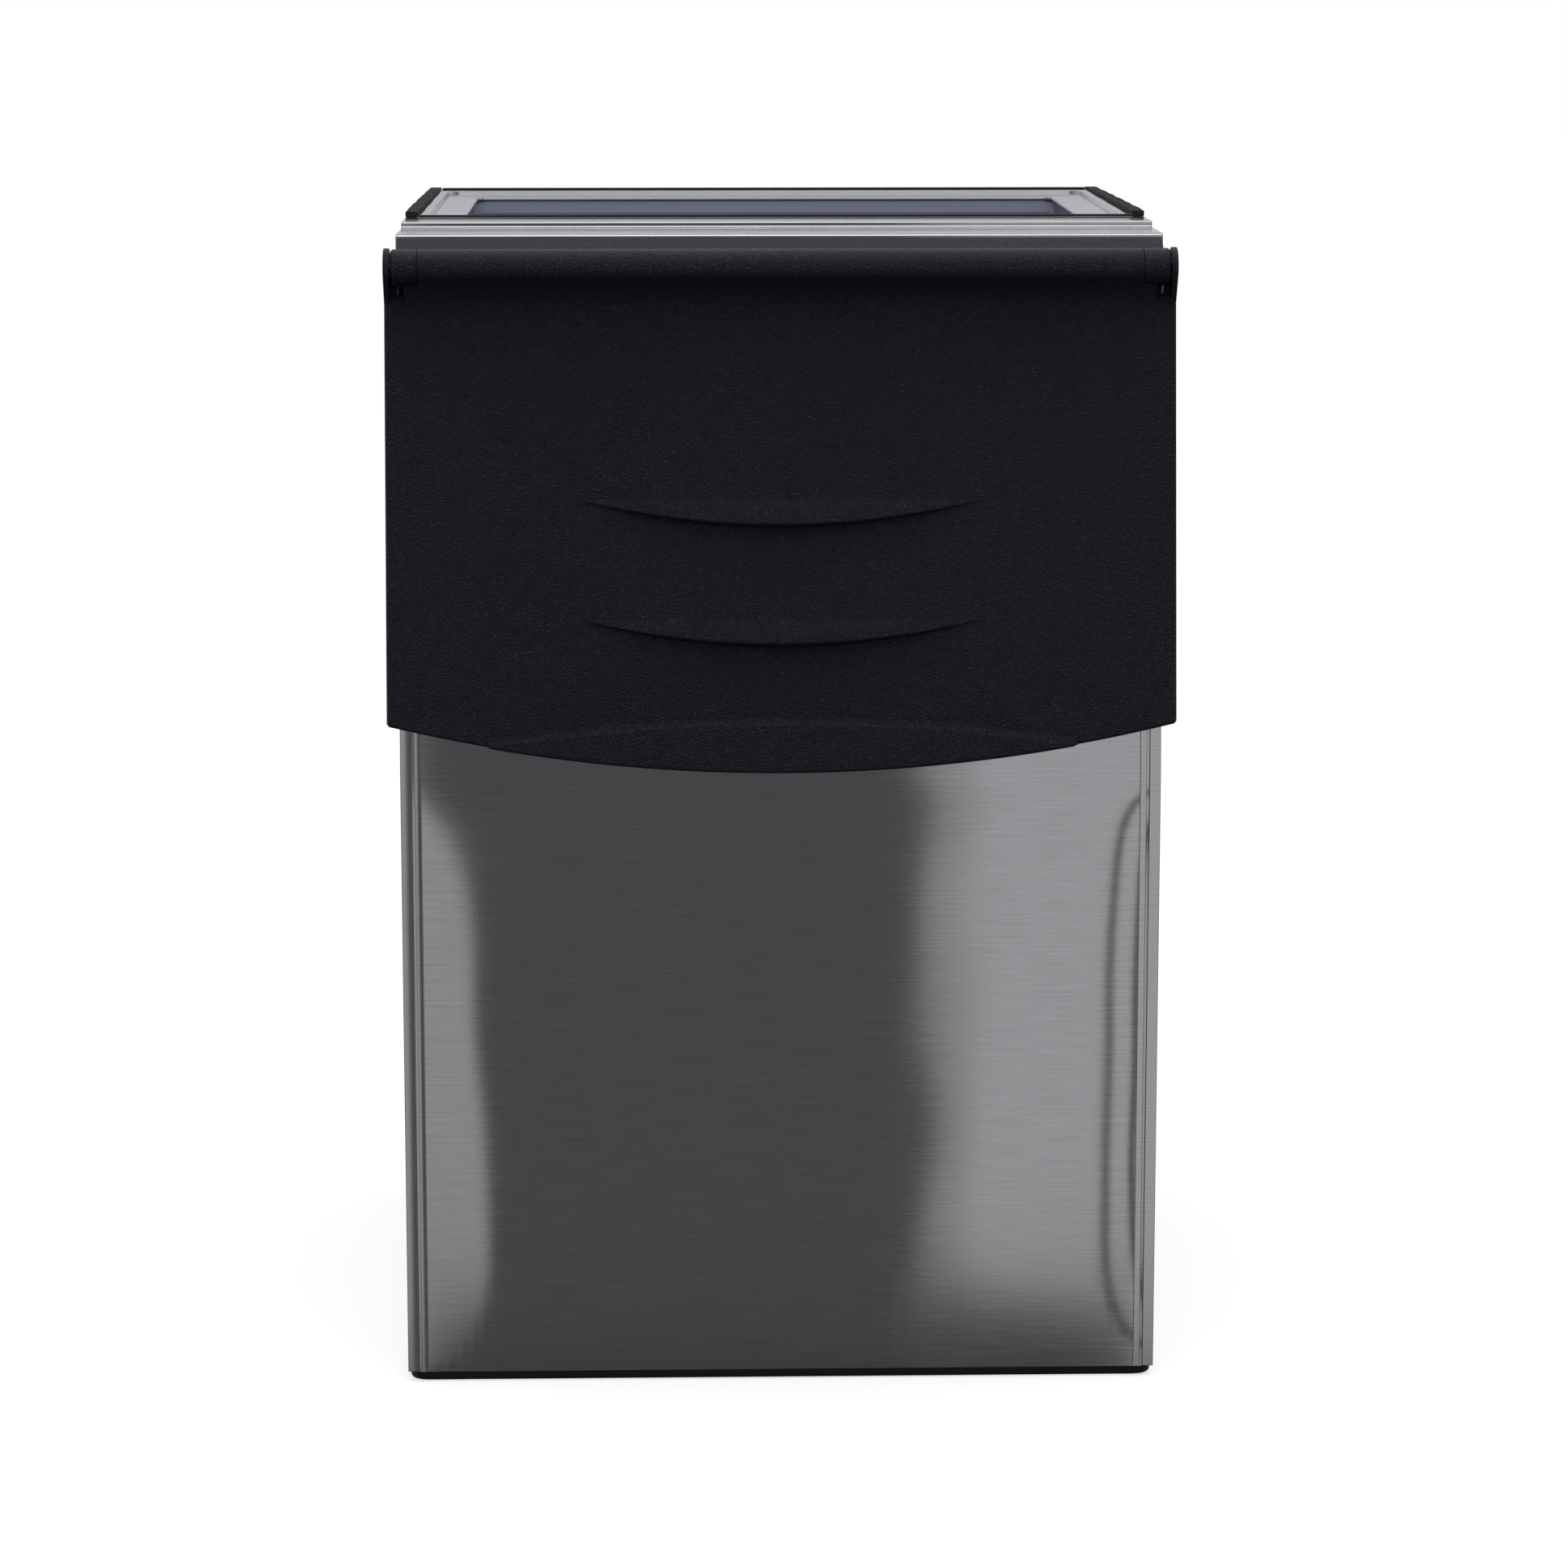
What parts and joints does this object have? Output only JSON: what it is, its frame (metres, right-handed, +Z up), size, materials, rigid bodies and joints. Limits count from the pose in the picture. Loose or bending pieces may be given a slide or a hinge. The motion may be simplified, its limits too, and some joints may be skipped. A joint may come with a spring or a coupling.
{
  "type": "ice storage bin",
  "caption": "Foamed stainless storage bin for a modular ice machine, with an open top for the ice-making head and a black top-hung door on a sloping front.",
  "frame": {"origin": "middle of the whole object's box at floor level", "axes": "+X to the right seen from the front, -Y towards the front with the door, +Z up"},
  "size_m": [0.783, 0.814, 1.1773],
  "materials": {
    "stainless_sheet": "finely brushed, the grain running across",
    "galvanised_sheet": "dull zinc-coated sheet",
    "fastener_steel": "plain steel, semi-bright",
    "black_plastic": "fine leather-like moulded grain, low sheen",
    "base_plastic": "dull moulded plastic",
    "liner_plastic": "smooth moulded plastic, blue-grey",
    "grey_plastic": "smooth moulded plastic, grey",
    "drain_plastic": "smooth moulded plastic, light grey",
    "foam_rubber": "closed-cell foam strip, dull",
    "black_vinyl": "soft vinyl, low sheen",
    "insulation_foam": "poured rigid foam, hidden",
    "white_plastic": "smooth white sheet"
  },
  "bodies": {
    "cabinet": {"base_tray": "base_plastic", "leg_socket_front_left": "fastener_steel", "leg_socket_front_right": "fastener_steel", "leg_socket_back_left": "fastener_steel", "leg_socket_back_right": "fastener_steel", "front_panel": "stainless_sheet", "side_panel_left": "stainless_sheet", "side_panel_right": "stainless_sheet", "seam_strip_left": "stainless_sheet", "seam_strip_right": "stainless_sheet", "back_panel": "galvanised_sheet", "drain_plate": "galvanised_sheet", "back_screw_left_low": "fastener_steel", "back_screw_left_middle": "fastener_steel", "back_screw_left_high": "fastener_steel", "back_screw_right_low": "fastener_steel", "back_screw_right_middle": "fastener_steel", "back_screw_right_high": "fastener_steel", "top_front_strip": "stainless_sheet", "top_frame": "stainless_sheet", "liner": "liner_plastic", "foam_insulation": "insulation_foam", "foam_front": "insulation_foam", "foam_drain_block": "insulation_foam", "throat_frame": "grey_plastic", "head_gasket_left": "foam_rubber", "head_gasket_right": "foam_rubber", "head_gasket_rear": "foam_rubber", "mouth_edge_trim": "black_vinyl", "hinge_rail": "black_plastic", "hinge_knuckle_left": "black_plastic", "hinge_knuckle_right": "black_plastic", "hinge_screw_left_upper": "fastener_steel", "hinge_screw_left_lower": "fastener_steel", "hinge_screw_right_upper": "fastener_steel", "hinge_screw_right_lower": "fastener_steel", "baffle_pin_left": "fastener_steel", "baffle_pin_right": "fastener_steel", "drain_tube": "drain_plastic", "drain_nut": "drain_plastic", "drain_strainer": "drain_plastic"},
    "door": {"door_shell": "black_plastic", "door_core": "insulation_foam", "pull_cup": "black_plastic", "door_liner": "grey_plastic", "door_gasket": "black_vinyl", "door_screw_left_low": "fastener_steel", "door_screw_left_middle": "fastener_steel", "door_screw_left_high": "fastener_steel", "door_screw_right_low": "fastener_steel", "door_screw_right_middle": "fastener_steel", "door_screw_right_high": "fastener_steel", "door_bumper_left": "foam_rubber", "door_bumper_right": "foam_rubber", "hinge_pin_left": "fastener_steel", "hinge_pin_right": "fastener_steel"},
    "baffle": {"baffle": "white_plastic"}
  },
  "joints": [
    {"name": "door_hinge", "type": "hinge", "parent": "cabinet", "child": "door", "pos_m": [0, -0.334, 1.134], "axis": [-1, 0, 0], "range_deg": [0, 180]},
    {"name": "baffle_hinge", "type": "hinge", "parent": "cabinet", "child": "baffle", "pos_m": [0, -0.23, 1.08], "axis": [1, 0, 0], "range_deg": [-8, 65]}
  ]
}
